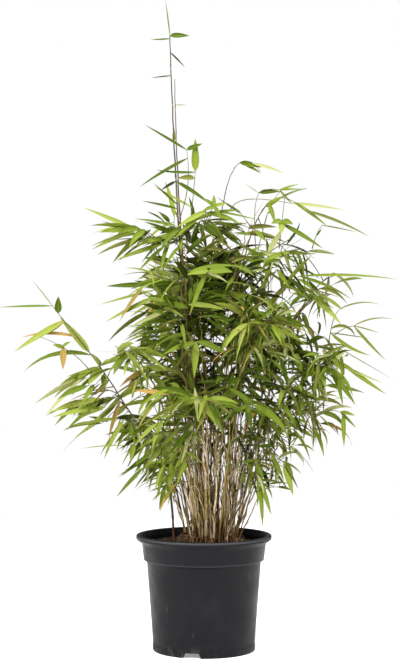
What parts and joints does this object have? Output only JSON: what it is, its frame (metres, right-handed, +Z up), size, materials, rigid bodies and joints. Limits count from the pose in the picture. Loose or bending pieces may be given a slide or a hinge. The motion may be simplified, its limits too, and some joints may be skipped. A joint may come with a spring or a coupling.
{
  "type": "potted bamboo",
  "caption": "Clump-forming bamboo in a round tapered nursery pot: a clump of thin arching culms with masses of narrow leaves, a tall leader pair, and soil filling the pot.",
  "frame": {"origin": "middle of the pot's flat underside, on the ground", "axes": "+Z up along the pot's axis, +X to the plant's right, -Y to its front, where the tall leader pair stands left of the middle"},
  "size_m": [0.5457, 0.4583, 0.9063],
  "materials": {
    "pot_plastic": "black moulded plastic, satin on the lip and scuffed with dried soil near the foot",
    "potting_soil": "dark brown potting mix with reddish bark bits and pale roots",
    "culm": "thin straw to olive-green culms with darker nodes and papery sheaths",
    "dark_culm": "thin culms of a dark purple-brown with a low sheen",
    "dry_culm": "dry tan culm ends and sheaths, matt",
    "foliage": "narrow leaves from bright yellow-green to deep green, satin, with a pale midrib"
  },
  "bodies": {
    "root": {"culm_01": "culm", "culm_02": "culm", "culm_03": "culm", "culm_04": "culm", "culm_05": "culm", "culm_06": "culm", "culm_07": "culm", "culm_08": "culm", "culm_09": "culm", "culm_10": "culm", "culm_11": "culm", "culm_12": "culm", "culm_13": "culm", "culm_14": "culm", "culm_15": "culm", "culm_arch_back": "culm", "culm_arch_right": "culm", "culm_arch_top": "culm", "culm_bare_1": "culm", "culm_bare_2": "culm", "culm_bare_3": "culm", "culm_bare_4": "culm", "culm_bare_5": "culm", "culm_bare_6": "culm", "culm_bare_7": "culm", "culm_bare_8": "culm", "culm_leader": "dark_culm", "culm_leader_side": "dark_culm", "culm_left": "dark_culm", "culm_left_top": "culm", "culm_right": "culm", "culm_stub_1": "dry_culm", "culm_stub_2": "dry_culm", "culm_stub_3": "dry_culm", "foliage_01": "foliage", "foliage_02": "foliage", "foliage_03": "foliage", "foliage_04": "foliage", "foliage_05": "foliage", "foliage_06": "foliage", "foliage_07": "foliage", "foliage_08": "foliage", "foliage_09": "foliage", "foliage_10": "foliage", "foliage_11": "foliage", "foliage_12": "foliage", "foliage_13": "foliage", "foliage_14": "foliage", "foliage_15": "foliage", "foliage_arch_back": "foliage", "foliage_arch_right": "foliage", "foliage_arch_top": "foliage", "foliage_leader": "foliage", "foliage_leader_side": "foliage", "foliage_left": "foliage", "foliage_left_top": "foliage", "foliage_right": "foliage", "pot": "pot_plastic", "soil": "potting_soil"}
  },
  "joints": []
}
